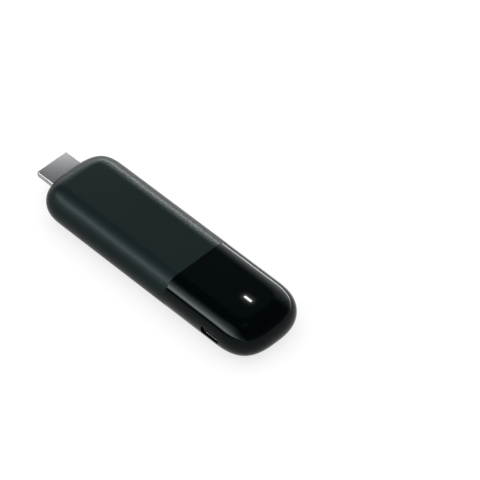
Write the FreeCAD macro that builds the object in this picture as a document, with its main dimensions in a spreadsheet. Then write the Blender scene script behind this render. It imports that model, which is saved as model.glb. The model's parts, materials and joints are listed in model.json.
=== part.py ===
import FreeCAD, Part
import math
import os
import Sketcher

# A streaming media stick, in millimetres.
# X runs from the plug to the glossy tip, Z is up through the face with the light.
# The origin lies under the middle of the whole length, on the surface it rests on.

SIZES = {
    # Outside of the housing
    "body_length": 106.0,
    "body_width": 31.8,
    "body_height": 15.4,
    "side_flat": 0.3,
    "wall": 1.4,
    "cap_length": 39.5,
    # End outlines, each of a nose arc, two corner arcs and two flank arcs
    "front_nose_radius": 51.0,
    "front_corner_radius": 9.15,
    "front_flank_radius": 26.3,
    "front_run": 11.85,
    "tip_nose_radius": 40.0,
    "tip_corner_radius": 11.3,
    "tip_flank_radius": 28.0,
    "tip_run": 14.9,
    # Joint between the sleeve and the end cap
    "lip_length": 3.0,
    "lip_root": 2.4,
    "lip_thickness": 0.9,
    "lip_gap": 0.1,
    "snap_back": 1.1,
    "snap_length": 1.1,
    "snap_width": 3.6,
    "snap_spread": 4.6,
    "snap_depth": 0.6,
    "snap_gap": 0.12,
    # Plug
    "plug_reach": 8.2,
    "plug_tail": 6.0,
    "plug_width": 13.9,
    "plug_height": 4.45,
    "plug_side": 2.4,
    "plug_shoulder": 1.0,
    "plug_flat": 9.85,
    "plug_drop": 0.65,
    "plug_sheet": 0.35,
    "plug_corner": 0.45,
    "plug_lead_in": 0.2,
    "plug_gap": 0.2,
    "latch_size": 1.9,
    "latch_spread": 2.7,
    "latch_back": 5.7,
    "leg_length": 2.4,
    "leg_height": 1.4,
    "insulator_recess": 0.5,
    "insulator_setback": 0.6,
    "insulator_fit": 0.05,
    "mouth_width": 11.2,
    "mouth_taper": 1.0,
    "mouth_height": 2.1,
    "mouth_depth": 8.2,
    "contact_pitch": 1.0,
    "contact_width": 0.32,
    "contact_thickness": 0.2,
    "contact_lift": 0.15,
    "contact_dip": 0.4,
    "contact_bump": 1.1,
    "contact_foot": 1.2,
    "groove_width": 0.44,
    "groove_depth": 0.45,
    # Circuit board and its frame
    "board_thickness": 1.0,
    "board_setback": 0.3,
    "board_tip_gap": 10.9,
    "board_gap": 0.15,
    "neck_length": 3.2,
    "neck_gap": 0.1,
    "chassis_start": 9.0,
    "chassis_gap": 0.6,
    "rail_wall": 0.75,
    "rail_rise": 0.8,
    "ledge_width": 1.6,
    "ledge_thickness": 1.0,
    "bar_width": 2.0,
    "key_height": 1.0,
    "key_gap": 0.1,
    "key_reach": 0.3,
    "rib_height": 0.8,
    "rib_gap": 0.2,
    # Board screws
    "screw_inset": 3.1,
    "front_screw_at": 17.5,
    "rear_screw_back": 24.5,
    "screw_diameter": 1.4,
    "screw_gap": 0.1,
    "screw_depth": 2.0,
    "head_diameter": 2.6,
    "head_height": 0.9,
    "head_bevel": 0.25,
    "cross_width": 0.4,
    "cross_length": 1.5,
    "cross_depth": 0.5,
    "boss_diameter": 3.6,
    "boss_height": 2.4,
    "post_diameter": 3.6,
    "post_margin": 0.2,
    # Cans, pads and heat spreaders, counted out from the board
    "shield_at": 22.0,
    "shield_length": 28.0,
    "shield_inset": 2.7,
    "shield_sheet": 0.25,
    "shield_fit": 0.05,
    "shield_rim": 0.9,
    "shield_skirt": 1.1,
    "upper_can_height": 1.9,
    "lower_can_height": 1.6,
    "upper_pad_height": 1.0,
    "lower_pad_height": 0.8,
    "pad_inset": 2.2,
    "upper_plate": 1.5,
    "lower_plate": 1.2,
    "plate_end": 2.6,
    "plate_corner": 1.5,
    "flute_width": 0.8,
    "flute_pitch": 2.0,
    "flute_depth": 0.5,
    "foam_length": 8.0,
    "foam_width": 11.0,
    "foam_end": 5.0,
    "foam_gap": 0.1,
    # Parts on the board
    "processor_size": 13.0,
    "processor_height": 1.0,
    "processor_at": 9.0,
    "memory_length": 8.5,
    "memory_width": 6.0,
    "memory_height": 0.8,
    "memory_at": 21.5,
    "memory_gap": 1.2,
    "storage_length": 13.0,
    "storage_width": 11.5,
    "storage_height": 0.9,
    "storage_at": 8.5,
    "power_size": 6.0,
    "power_height": 0.9,
    "power_at": 20.5,
    "coil_size": 3.0,
    "coil_height": 1.2,
    "coil_gap": 1.0,
    "radio_gap": 2.0,
    "radio_length": 11.0,
    "radio_width": 12.0,
    "radio_base": 0.5,
    "radio_height": 1.7,
    "radio_step": 0.3,
    "crystal_length": 2.5,
    "crystal_width": 2.0,
    "crystal_height": 0.6,
    "guard_size": 1.6,
    "guard_height": 0.6,
    "guard_pitch": 3.0,
    "guard_gap": 1.2,
    "chip_length": 1.6,
    "chip_width": 0.8,
    "chip_height": 0.8,
    "chip_pitch": 2.4,
    "chip_gap": 1.2,
    "antenna_length": 11.0,
    "antenna_width": 1.2,
    "antenna_height": 2.6,
    "antenna_sheet": 0.3,
    "antenna_inset": 0.6,
    "antenna_leg": 1.0,
    "antenna_feed": 3.0,
    "antenna_back": 27.0,
    # Power socket in the side of the cap
    "socket_back": 17.0,
    "socket_rise": 0.35,
    "socket_width": 7.5,
    "socket_height": 2.6,
    "socket_side": 1.6,
    "socket_flat": 5.6,
    "socket_depth": 5.6,
    "socket_sheet": 0.25,
    "socket_reach": 0.35,
    "socket_way_gap": 0.15,
    "socket_block": 1.4,
    "socket_fit": 0.05,
    "socket_tab": 1.2,
    "socket_tab_reach": 1.0,
    "socket_tab_back": 3.0,
    "tongue_width": 3.7,
    "tongue_height": 0.65,
    "tongue_setback": 0.8,
    "pin_pitch": 0.65,
    "pin_width": 0.35,
    "pin_height": 0.12,
    "port_margin": 0.35,
    "port_corner": 0.9,
    # Light and its guide
    "light_back": 14.3,
    "light_length": 3.7,
    "light_width": 1.0,
    "light_fit": 0.05,
    "flange_margin": 0.9,
    "flange_height": 0.8,
    "guide_length": 2.2,
    "guide_width": 1.2,
    "lamp_length": 1.6,
    "lamp_width": 0.8,
    "lamp_height": 0.5,
    "lamp_gap": 0.25,
}

UPPER_CONTACTS = 10
LOWER_CONTACTS = 9
SOCKET_PINS = 5
FLUTES = 7
GUARDS = 4
LOOSE_CHIPS = 8

doc = FreeCAD.newDocument("media_stick")
sheet = doc.addObject("Spreadsheet::Sheet", "Sizes")
for row, (alias, number) in enumerate(SIZES.items(), 1):
    sheet.set(f"A{row}", alias)
    sheet.set(f"B{row}", str(number))
    sheet.setAlias(f"B{row}", alias)
doc.recompute()


class Length:
    """A length worked out from the sheet: its formula, and its value now."""

    def __init__(self, formula, value):
        self.formula = formula
        self.value = value

    def __add__(self, other):
        other = length(other)
        return Length(f"({self.formula} + {other.formula})", self.value + other.value)

    def __sub__(self, other):
        other = length(other)
        return Length(f"({self.formula} - {other.formula})", self.value - other.value)

    def __mul__(self, other):
        other = length(other)
        return Length(f"({self.formula} * {other.formula})", self.value * other.value)

    def __truediv__(self, other):
        other = length(other)
        return Length(f"({self.formula} / {other.formula})", self.value / other.value)

    def __neg__(self):
        return Length(f"(0 - {self.formula})", -self.value)

    def root(self):
        return Length(f"sqrt({self.formula})", math.sqrt(self.value))

    def at_most(self, other):
        return Length(f"min({self.formula}; {other.formula})", min(self.value, other.value))


def length(number):
    return number if isinstance(number, Length) else Length(str(number), float(number))


class Sheet:
    """Gives each cell of the sheet by its alias."""

    def __getattr__(self, alias):
        return Length(f"Sizes.{alias}", float(sheet.get(alias)))


s = Sheet()
CENTRE = length(0)

# Places along the stick
front = (s.plug_reach - s.body_length) / 2
tip = front + s.body_length
seam = tip - s.cap_length
plug_tip = front - s.plug_reach
plug_end = front + s.plug_tail
board_front = plug_end + s.board_setback
board_shoulder = board_front + s.neck_length
board_rear = tip - s.board_tip_gap
chassis_front = front + s.chassis_start
chassis_rear = board_rear + s.board_gap + s.rail_wall
lip_front = seam - s.lip_length
lip_rear = seam + s.lip_root
shield_front = front + s.shield_at
shield_rear = shield_front + s.shield_length
radio_front = shield_rear + s.radio_gap
screw_places = (front + s.front_screw_at, tip - s.rear_screw_back)
socket_middle = tip - s.socket_back
light_middle = tip - s.light_back

# Places across the stick
half_width = s.body_width / 2
side_wall = half_width - s.wall
lip_side = side_wall - s.lip_gap - s.lip_thickness
chassis_side = lip_side - s.chassis_gap
board_side = chassis_side - s.rail_wall - s.board_gap
screw_side = board_side - s.screw_inset
shield_side = board_side - s.shield_inset
socket_mouth = -side_wall - s.socket_reach

# Levels from the bottom up
middle = s.body_height / 2
ceiling = s.body_height - s.wall
plug_middle = middle - s.plug_drop
plug_top = plug_middle + s.plug_height / 2
plug_bottom = plug_middle - s.plug_height / 2
board_top = plug_middle + s.board_thickness / 2
board_bottom = board_top - s.board_thickness
ledge_bottom = board_bottom - s.ledge_thickness
key_bottom = plug_middle - s.key_height / 2
key_top = plug_middle + s.key_height / 2
upper_can_top = board_top + s.upper_can_height
upper_lid_top = upper_can_top + s.shield_sheet
upper_plate_bottom = upper_lid_top + s.upper_pad_height
upper_plate_top = upper_plate_bottom + s.upper_plate
lower_can_bottom = board_bottom - s.lower_can_height
lower_lid_bottom = lower_can_bottom - s.shield_sheet
lower_plate_top = lower_lid_bottom - s.lower_pad_height
lower_plate_bottom = lower_plate_top - s.lower_plate
socket_level = plug_middle + s.socket_rise

# The long edges are rounded over the height that the flat band leaves
full_round = (s.body_height - s.side_flat) / 2
edge_round = full_round.at_most(s.front_corner_radius * 0.95).at_most(s.tip_corner_radius * 0.95)

parts = []
cuts = []


def bind(owner, path, size):
    owner.setExpression(path, length(size).formula)


def new_body(name, many=False):
    body = doc.addObject("PartDesign::Body", name)
    body.Label = name
    body.AllowCompound = many
    parts.append(body)
    return body


def new_sketch(body, name, plane, offset):
    sketch = body.newObject("Sketcher::SketchObject", name)
    support = next(o for o in body.Origin.OriginFeatures if o.Role == f"{plane}_Plane")
    sketch.AttachmentSupport = [(support, "")]
    sketch.MapMode = "FlatFace"
    bind(sketch, "AttachmentOffset.Base.z", offset)
    return sketch


def set_size(sketch, kind, places, size):
    constraint = sketch.addConstraint(Sketcher.Constraint(kind, *places, length(size).value))
    name = f"size_{constraint}"
    sketch.renameConstraint(constraint, name)
    bind(sketch, f"Constraints.{name}", size)


def pin(sketch, geometry, point, across, up):
    """Holds a point of the sketch at its distances from the origin."""
    set_size(sketch, "DistanceX", (-1, 1, geometry, point), across)
    set_size(sketch, "DistanceY", (-1, 1, geometry, point), up)


def polygon(sketch, corners):
    first = sketch.GeometryCount
    spots = [FreeCAD.Vector(length(x).value, length(y).value, 0) for x, y in corners]
    count = len(spots)
    for i in range(count):
        sketch.addGeometry(Part.LineSegment(spots[i], spots[(i + 1) % count]), False)
    for i in range(count):
        joined = (first + i, 2, first + (i + 1) % count, 1)
        sketch.addConstraint(Sketcher.Constraint("Coincident", *joined))
        pin(sketch, first + i, 1, *corners[i])


def rectangle(sketch, x0, x1, y0, y1):
    polygon(sketch, [(x0, y0), (x1, y0), (x1, y1), (x0, y1)])


def circle(sketch, x, y, radius):
    spot = FreeCAD.Vector(length(x).value, length(y).value, 0)
    up = FreeCAD.Vector(0, 0, 1)
    index = sketch.addGeometry(Part.Circle(spot, up, length(radius).value), False)
    pin(sketch, index, 3, x, y)
    set_size(sketch, "Radius", (index,), radius)


def rounded(sketch, x0, x1, y0, y1, radius):
    """A rectangle with round corners: four lines, each held at both ends, and four arcs."""
    first = sketch.GeometryCount
    r = length(radius)
    ends = [
        ((x0 + r, y0), (x1 - r, y0)),
        ((x1, y0 + r), (x1, y1 - r)),
        ((x1 - r, y1), (x0 + r, y1)),
        ((x0, y1 - r), (x0, y0 + r)),
    ]
    middles = [(x1 - r, y0 + r), (x1 - r, y1 - r), (x0 + r, y1 - r), (x0 + r, y0 + r)]
    for side, (start, end) in enumerate(ends):
        spots = [FreeCAD.Vector(x.value, y.value, 0) for x, y in (start, end)]
        sketch.addGeometry(Part.LineSegment(*spots), False)
        spot = FreeCAD.Vector(middles[side][0].value, middles[side][1].value, 0)
        ring = Part.Circle(spot, FreeCAD.Vector(0, 0, 1), r.value)
        turn = math.pi / 2
        sketch.addGeometry(Part.ArcOfCircle(ring, (side - 1) * turn, side * turn), False)
    for side, (start, end) in enumerate(ends):
        line = first + 2 * side
        following = first + (2 * side + 2) % 8
        sketch.addConstraint(Sketcher.Constraint("Tangent", line, 2, line + 1, 1))
        sketch.addConstraint(Sketcher.Constraint("Coincident", line + 1, 2, following, 1))
        pin(sketch, line, 1, *start)
        pin(sketch, line, 2, *end)


def capsule(sketch, x, y, full_length, width):
    """A slot's outline along X, with half-round ends."""
    first = sketch.GeometryCount
    radius = width / 2
    reach = full_length / 2 - radius
    turn = math.pi / 2
    for side in (-1, 1):
        level = y.value + side * radius.value
        spots = [(x.value + side * reach.value, level), (x.value - side * reach.value, level)]
        sketch.addGeometry(Part.LineSegment(*[FreeCAD.Vector(a, b, 0) for a, b in spots]), False)
    for side in (1, -1):
        spot = FreeCAD.Vector(x.value + side * reach.value, y.value, 0)
        ring = Part.Circle(spot, FreeCAD.Vector(0, 0, 1), radius.value)
        start = -turn if side == 1 else turn
        sketch.addGeometry(Part.ArcOfCircle(ring, start, start + 2 * turn), False)
    lower, upper, right, left = range(first, first + 4)
    pin(sketch, lower, 1, x - reach, y - radius)
    pin(sketch, lower, 2, x + reach, y - radius)
    pin(sketch, upper, 1, x + reach, y + radius)
    pin(sketch, upper, 2, x - reach, y + radius)
    sketch.addConstraint(Sketcher.Constraint("Tangent", lower, 2, right, 1))
    sketch.addConstraint(Sketcher.Constraint("Coincident", right, 2, upper, 1))
    sketch.addConstraint(Sketcher.Constraint("Tangent", upper, 2, left, 1))
    sketch.addConstraint(Sketcher.Constraint("Coincident", left, 2, lower, 1))


def prism(body, name, plane, low, high, outlines, cut=False):
    """Adds or cuts what lies inside the outlines between two levels of X, Y or Z."""
    low, high = length(low), length(high)
    offset = -high if plane == "XZ" else low
    sketch = new_sketch(body, f"{name}_outline", plane, offset)
    for draw, *values in outlines:
        draw(sketch, *values)
    feature = body.newObject("PartDesign::Pocket" if cut else "PartDesign::Pad", name)
    feature.Profile = sketch
    feature.Reversed = cut
    bind(feature, "Length", high - low)
    if cut:
        cuts.append(feature)
    body.Tip = feature
    return feature


def edges_of(feature, wanted):
    """Names the edges of a feature that a test accepts."""
    doc.recompute()
    return [f"Edge{i}" for i, edge in enumerate(feature.Shape.Edges, 1) if wanted(edge)]


def dress(body, kind, name, base, edges, size):
    """Rounds or bevels edges of the body's last feature."""
    feature = body.newObject(f"PartDesign::{kind}", name)
    feature.Base = (base, edges)
    bind(feature, "Radius" if kind == "Fillet" else "Size", size)
    body.Tip = feature
    return feature


def row_of(body, name, feature, plane_axis, pitch, count):
    """Repeats a feature along an origin axis, from its first place on."""
    pattern = body.newObject("PartDesign::LinearPattern", name)
    pattern.Originals = [feature]
    axis = next(o for o in body.Origin.OriginFeatures if o.Role == f"{plane_axis}_Axis")
    pattern.Direction = (axis, [""])
    pattern.Occurrences = count
    bind(pattern, "Length", pitch * (count - 1))
    body.Tip = pattern
    return pattern


def block(name, x0, x1, y0, y1, z0, z1):
    box = doc.addObject("Part::Box", name)
    for path, low, high in (("Length", x0, x1), ("Width", y0, y1), ("Height", z0, z1)):
        bind(box, path, length(high) - length(low))
    for path, low in (("x", x0), ("y", y0), ("z", z0)):
        bind(box, f"Placement.Base.{path}", low)
    return box


def centred_block(name, x, y, size_x, size_y, low, high):
    return block(name, x - size_x / 2, x + size_x / 2, y - size_y / 2, y + size_y / 2, low, high)


def keep(piece, name):
    piece.Label = name
    parts.append(piece)
    return piece


def group(name, blocks):
    """Separate solids of one kind that share a name."""
    piece = doc.addObject("Part::Compound", name)
    piece.Links = blocks
    return keep(piece, name)


def joined(name, blocks):
    piece = doc.addObject("Part::MultiFuse", name)
    piece.Shapes = blocks
    return keep(piece, name)


# Outline of the housing, seen from above

def end_arcs(nose, corner, flank, run, half):
    """Centres of the three arcs of one end, from its foremost point back, and where they meet."""
    nose_at = (-nose, 0.0)
    flank_at = (-run, half - flank)
    apart = math.dist(nose_at, flank_at)
    inner, outer = nose - corner, flank - corner
    along = (inner ** 2 - outer ** 2 + apart ** 2) / (2 * apart)
    aside = math.sqrt(inner ** 2 - along ** 2)
    ux, uy = (flank_at[0] - nose_at[0]) / apart, (flank_at[1] - nose_at[1]) / apart
    corner_at = (nose_at[0] + along * ux - aside * uy, along * uy + aside * ux)
    nose_turn = math.atan2(corner_at[1], corner_at[0] - nose_at[0])
    flank_turn = math.atan2(corner_at[1] - flank_at[1], corner_at[0] - flank_at[0])
    return (nose_at, corner_at, flank_at), (nose_turn, flank_turn, math.pi / 2)


def housing_outline(sketch):
    """Two long sides joined by five arcs at each end, all tangent, counter-clockwise."""
    ends = {
        1: (tip, s.tip_nose_radius, s.tip_corner_radius, s.tip_flank_radius, s.tip_run),
        -1: (front, s.front_nose_radius, s.front_corner_radius, s.front_flank_radius, s.front_run),
    }
    half = half_width.value
    up = FreeCAD.Vector(0, 0, 1)
    for way, (start, nose, corner, flank, run) in ends.items():
        centres, turns = end_arcs(nose.value, corner.value, flank.value, run.value, half)
        stops = (-turns[0], *turns)
        radii = (nose.value, corner.value, flank.value)
        quarter = [(centres[i], radii[i], stops[i], stops[i + 1]) for i in range(3)]
        mirrored = [((x, -y), r, -b, -a) for (x, y), r, a, b in quarter[:0:-1]]
        base = 0 if way == 1 else math.pi
        for (x, y), radius, a, b in mirrored + quarter:
            spot = FreeCAD.Vector(start.value + way * x, way * y, 0)
            ring = Part.Circle(spot, up, radius)
            sketch.addGeometry(Part.ArcOfCircle(ring, base + a, base + b), False)
        straight = [FreeCAD.Vector(end[0].value - w * end[4].value, way * half, 0)
                    for w, end in ((way, ends[way]), (-way, ends[-way]))]
        sketch.addGeometry(Part.LineSegment(*straight), False)
    count = sketch.GeometryCount
    for i in range(count):
        sketch.addConstraint(Sketcher.Constraint("Tangent", i, 2, (i + 1) % count, 1))
    first = 0
    for way, (start, nose, corner, flank, run) in ends.items():
        for place, radius in enumerate((flank, corner, nose, corner, flank)):
            set_size(sketch, "Radius", (first + place,), radius)
        centre = start - nose * way
        sketch.addConstraint(Sketcher.Constraint("PointOnObject", first + 2, 3, -1))
        set_size(sketch, "DistanceX", (-1, 1, first + 2, 3), centre)
        other = ends[-way]
        side = first + 5
        set_size(sketch, "DistanceX", (-1, 1, side, 1), start - run * way)
        set_size(sketch, "DistanceX", (-1, 1, side, 2), other[0] + other[4] * way)
        set_size(sketch, "DistanceY", (-1, 1, side, 1), half_width * way)
        sketch.addConstraint(Sketcher.Constraint("Horizontal", side))
        first += 6


def housing_shell(body, cut_low, cut_high):
    """The whole rounded housing, cut off at the seam and hollowed from there."""
    solid = prism(body, "outside", "XY", CENTRE, s.body_height, [(housing_outline,)])
    flat_edges = edges_of(solid, lambda edge: edge.BoundBox.ZLength < 1e-6)
    rounded_solid = dress(body, "Fillet", "long_edges", solid, flat_edges, edge_round)
    box = (rectangle, cut_low, cut_high, -s.body_width, s.body_width)
    margin = s.wall
    cut = prism(body, "seam_cut", "XY", -margin, s.body_height + margin, [box], cut=True)
    doc.recompute()
    open_faces = [f"Face{i}" for i, face in enumerate(cut.Shape.Faces, 1)
                  if face.BoundBox.XLength < 1e-6 and abs(face.CenterOfMass.x - seam.value) < 1e-4]
    shell = body.newObject("PartDesign::Thickness", "hollow")
    shell.Base = (cut, open_faces)
    shell.Reversed = True
    bind(shell, "Value", s.wall)
    body.Tip = shell
    return rounded_solid


def section(sketch, inset):
    """The housing's rounded section at the seam, drawn in by an inset."""
    y = half_width - inset
    rounded(sketch, -y, y, inset, s.body_height - inset, edge_round - inset)


def plug_outline(sketch, inset):
    """The plug's section: upright sides, a step in at each shoulder, then slopes to the narrow face."""
    inset = length(inset)
    top = plug_top - inset
    step = plug_top - s.plug_side + inset
    low = plug_bottom + inset
    wide = s.plug_width / 2 - inset
    slope_out = s.plug_width / 2 - s.plug_shoulder
    slope_in = s.plug_flat / 2
    run = slope_out - slope_in
    fall = s.plug_height - s.plug_side
    lean = ((run * run + fall * fall).root() - run) / fall
    shift = inset * lean
    right = [(slope_in - shift, low), (slope_out - shift, step), (wide, step), (wide, top)]
    polygon(sketch, right + [(-y, z) for y, z in reversed(right)])


def make_sleeve():
    body = new_body("sleeve")
    housing_shell(body, seam, tip + s.wall)
    opening = [(plug_outline, -s.plug_gap)]
    prism(body, "plug_opening", "YZ", front - s.wall, front + s.wall * 2, opening, cut=True)
    ribs = []
    rib_side = chassis_side + s.rib_gap
    wall_middle = half_width - s.wall / 2
    for low in (key_top + s.key_gap, key_bottom - s.key_gap - s.rib_height):
        ribs.append((rectangle, rib_side, wall_middle, low, low + s.rib_height))
        ribs.append((rectangle, -wall_middle, -rib_side, low, low + s.rib_height))
    prism(body, "guide_ribs", "YZ", front + s.front_run, lip_front - s.snap_gap, ribs)
    snap_rear = seam - s.snap_back + s.snap_gap
    snap_front = snap_rear - s.snap_length - s.snap_gap * 2
    half = s.snap_width / 2 + s.snap_gap
    pockets = [(rectangle, snap_front, snap_rear, y - half, y + half)
               for y in (-s.snap_spread, s.snap_spread)]
    low = s.wall - s.snap_depth
    prism(body, "snap_pockets", "XY", low, s.body_height - low, pockets, cut=True)


def make_end_cap():
    body = new_body("end_cap")
    housing_shell(body, front - s.wall, seam)
    lip_outside = s.wall + s.lip_gap
    lip_inside = lip_outside + s.lip_thickness
    root = [(section, s.wall / 2), (section, lip_inside)]
    prism(body, "lip_root", "YZ", seam, lip_rear, root)
    lip = [(section, lip_outside), (section, lip_inside)]
    prism(body, "lip", "YZ", lip_front, lip_rear, lip)
    snap_rear = seam - s.snap_back
    snap_front = snap_rear - s.snap_length
    catch = s.snap_depth - s.snap_gap
    for y, name in ((-s.snap_spread, "right"), (s.snap_spread, "left")):
        hooks = []
        for level, way in ((ceiling, 1), (s.wall, -1)):
            foot = level - (s.lip_gap + s.lip_thickness / 2) * way
            wedge = [(snap_front, foot), (snap_rear, foot), (snap_rear, level + catch * way),
                     (snap_rear - s.snap_length / 2, level + catch * way)]
            hooks.append((polygon, wedge))
        half = s.snap_width / 2
        prism(body, f"{name}_hooks", "XZ", y - half, y + half, hooks)
    way_low = socket_level - s.socket_height / 2 - s.port_margin
    way_high = socket_level + s.socket_height / 2 + s.port_margin
    notches = [(rectangle, lip_side - s.wall, side_wall, way_low, way_high),
               (rectangle, -side_wall, s.wall - lip_side, way_low, way_high)]
    prism(body, "side_ways", "YZ", lip_front - s.wall, lip_rear + s.wall, notches, cut=True)
    half = s.socket_width / 2 + s.port_margin
    way = [(rectangle, socket_mouth - s.socket_way_gap, s.wall / 2 - side_wall, way_low, way_high)]
    prism(body, "socket_way", "YZ", lip_front - s.wall, socket_middle + half, way, cut=True)
    port = [(rounded, socket_middle - half, socket_middle + half, way_low, way_high, s.port_corner)]
    prism(body, "port", "XZ", -half_width - s.wall, s.wall - side_wall, port, cut=True)
    slot = [(capsule, light_middle, CENTRE, s.light_length, s.light_width)]
    prism(body, "light_slot", "XY", ceiling - s.wall, s.body_height + s.wall, slot, cut=True)


def make_light_guide():
    body = new_body("light_guide")
    head_size = (s.light_length - s.light_fit * 2, s.light_width - s.light_fit * 2)
    head = [(capsule, light_middle, CENTRE, *head_size)]
    flange_bottom = ceiling - s.flange_height
    prism(body, "head", "XY", flange_bottom, s.body_height, head)
    reach = s.light_length / 2 + s.flange_margin
    side = s.light_width / 2 + s.flange_margin
    flange = [(rounded, light_middle - reach, light_middle + reach, -side, side, s.flange_margin / 2)]
    prism(body, "flange", "XY", flange_bottom, ceiling, flange)
    lamp_top = board_top + s.lamp_height
    foot = new_sketch(body, "foot_outline", "XY", lamp_top + s.lamp_gap)
    rectangle(foot, light_middle - s.lamp_length / 2, light_middle + s.lamp_length / 2,
              -s.lamp_width / 2, s.lamp_width / 2)
    top = new_sketch(body, "column_top_outline", "XY", flange_bottom)
    rectangle(top, light_middle - s.guide_length / 2, light_middle + s.guide_length / 2,
              -s.guide_width / 2, s.guide_width / 2)
    column = body.newObject("PartDesign::AdditiveLoft", "column")
    column.Profile = foot
    column.Sections = [top]
    column.Ruled = True
    body.Tip = column


def make_plug_shell():
    body = new_body("plug_shell")
    tube = prism(body, "tube", "YZ", plug_tip, plug_end, [(plug_outline, CENTRE)])
    run = (plug_end - plug_tip).value
    shoulder_level = (plug_top - s.plug_side).value
    shoulder_side = s.plug_width.value / 2 - s.plug_shoulder.value

    def is_outer_corner(edge):
        spot = edge.CenterOfMass
        inner_corner = abs(spot.z - shoulder_level) < 1e-4 and abs(abs(spot.y) - shoulder_side) < 1e-4
        return abs(edge.BoundBox.XLength - run) < 1e-4 and not inner_corner

    corner_edges = edges_of(tube, is_outer_corner)
    rounded_tube = dress(body, "Fillet", "corners", tube, corner_edges, s.plug_corner)
    tip_edges = edges_of(rounded_tube, lambda edge: edge.BoundBox.XMax < plug_tip.value + 1e-4)
    dress(body, "Chamfer", "lead_in", rounded_tube, tip_edges, s.plug_lead_in)
    prism(body, "bore", "YZ", plug_tip, plug_end, [(plug_outline, s.plug_sheet)], cut=True)
    half = s.latch_size / 2
    latch_middle = plug_tip + s.latch_back
    windows = [(rectangle, latch_middle - half, latch_middle + half, y - half, y + half)
               for y in (-s.latch_spread, s.latch_spread)]
    prism(body, "latch_windows", "XY", plug_bottom - s.plug_sheet, plug_bottom + s.plug_sheet * 2,
          windows, cut=True)
    outer = s.plug_width / 2
    inner = outer - s.plug_sheet
    step = plug_top - s.plug_side
    legs = [(rectangle, -outer, -inner, step, step + s.leg_height),
            (rectangle, inner, outer, step, step + s.leg_height)]
    prism(body, "legs", "YZ", plug_end - s.leg_length, plug_end + s.leg_length, legs)


def make_plug_insulator():
    body = new_body("plug_insulator")
    fit = s.plug_sheet + s.insulator_fit
    start = plug_tip + s.insulator_recess
    end = plug_end - s.insulator_setback
    prism(body, "block", "YZ", start, end, [(plug_outline, fit)])
    wide = s.mouth_width / 2
    narrow = wide - s.mouth_taper
    low = plug_middle - s.mouth_height / 2
    high = plug_middle + s.mouth_height / 2
    mouth = [(polygon, [(-narrow, low), (narrow, low), (wide, high), (-wide, high)])]
    prism(body, "mouth", "YZ", start, start + s.mouth_depth, mouth, cut=True)
    half = s.groove_width / 2
    for name, count, edge, way in (("upper", UPPER_CONTACTS, high, 1), ("lower", LOWER_CONTACTS, low, -1)):
        first = s.contact_pitch * (1 - count) / 2
        deep = edge + s.groove_depth * way
        shallow = edge - s.groove_width * way
        z0, z1 = (shallow, deep) if way > 0 else (deep, shallow)
        groove = [(rectangle, first - half, first + half, z0, z1)]
        cut = prism(body, f"{name}_groove", "YZ", start, end, groove, cut=True)
        row_of(body, f"{name}_grooves", cut, "Y", s.contact_pitch, count)


def make_plug_contacts(name, count, way):
    """A row of sprung blades that end on the board: way is 1 above it and -1 below."""
    body = new_body(name, many=True)
    edge = s.mouth_height / 2
    inner = edge + s.contact_lift
    outer = inner + s.contact_thickness
    dip = inner - s.contact_dip
    start = plug_tip + s.insulator_recess + s.contact_bump
    bend = plug_end - s.insulator_setback
    pad_start = board_front + s.contact_thickness
    pad_end = pad_start + s.contact_foot
    surface = s.board_thickness / 2
    line = [(start, outer - s.contact_dip / 2), (start + s.contact_bump, dip + s.contact_thickness),
            (start + s.contact_bump * 2, outer), (bend, outer),
            (pad_start, surface + s.contact_thickness), (pad_end, surface + s.contact_thickness),
            (pad_end, surface), (pad_start - s.contact_thickness, surface), (bend, inner),
            (start + s.contact_bump * 2, inner), (start + s.contact_bump, dip),
            (start, inner - s.contact_dip / 2)]
    blade = [(x, plug_middle + level * way) for x, level in line]
    first = s.contact_pitch * (1 - count) / 2
    half = s.contact_width / 2
    pad = prism(body, "blade", "XZ", first - half, first + half, [(polygon, blade)])
    row_of(body, "blades", pad, "Y", s.contact_pitch, count)


def make_main_board():
    body = new_body("main_board")
    neck = s.plug_width / 2 - s.plug_sheet - s.neck_gap
    right = [(board_front, neck), (board_shoulder, neck), (board_shoulder, board_side),
             (board_rear, board_side)]
    outline = [(x, -y) for x, y in right] + list(reversed(right))
    prism(body, "plate", "XY", board_bottom, board_top, [(polygon, outline)])
    radius = s.screw_diameter / 2 + s.screw_gap
    holes = [(circle, x, y, radius) for x in screw_places for y in (-screw_side, screw_side)]
    prism(body, "screw_holes", "XY", board_bottom, board_top, holes, cut=True)
    half = s.socket_width / 2 + s.board_gap
    bay = [(rectangle, socket_middle - half, socket_middle + half, -board_side - s.wall,
            socket_mouth + s.socket_depth + s.board_gap)]
    prism(body, "socket_bay", "XY", board_bottom, board_top, bay, cut=True)


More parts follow.
